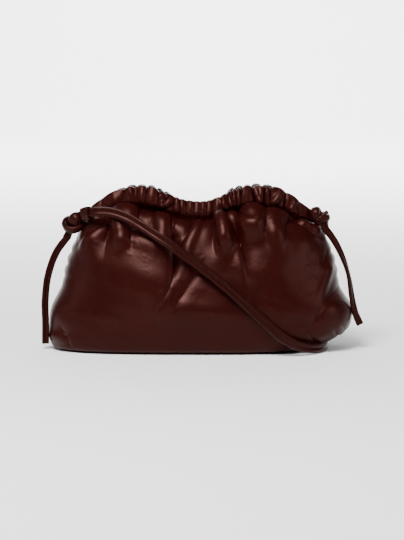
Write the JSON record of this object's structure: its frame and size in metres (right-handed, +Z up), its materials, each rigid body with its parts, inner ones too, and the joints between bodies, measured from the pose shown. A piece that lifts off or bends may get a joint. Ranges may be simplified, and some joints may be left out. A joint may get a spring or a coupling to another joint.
{
  "type": "gathered leather pouch bag",
  "caption": "Soft leather pouch bag on a flat base, gathered into a ruffled casing round its mouth, with a knotted leather strap across the front.",
  "frame": {"origin": "middle of the base, on the surface that the bag stands on", "axes": "+Z up, +X to the right as the front is seen, -Y out of the front"},
  "size_m": [0.295, 0.1703, 0.1497],
  "materials": {
    "leather": "smooth, semi-gloss",
    "strap_leather": "smooth, semi-gloss"
  },
  "bodies": {
    "root": {"front_panel": "leather", "back_panel": "leather", "front_casing": "leather", "back_casing": "leather", "base_panel": "leather", "strap": "strap_leather", "left_loop": "strap_leather", "right_loop": "strap_leather", "left_tail": "strap_leather", "left_knot": "strap_leather", "right_tail": "strap_leather", "right_knot": "strap_leather"}
  },
  "joints": []
}
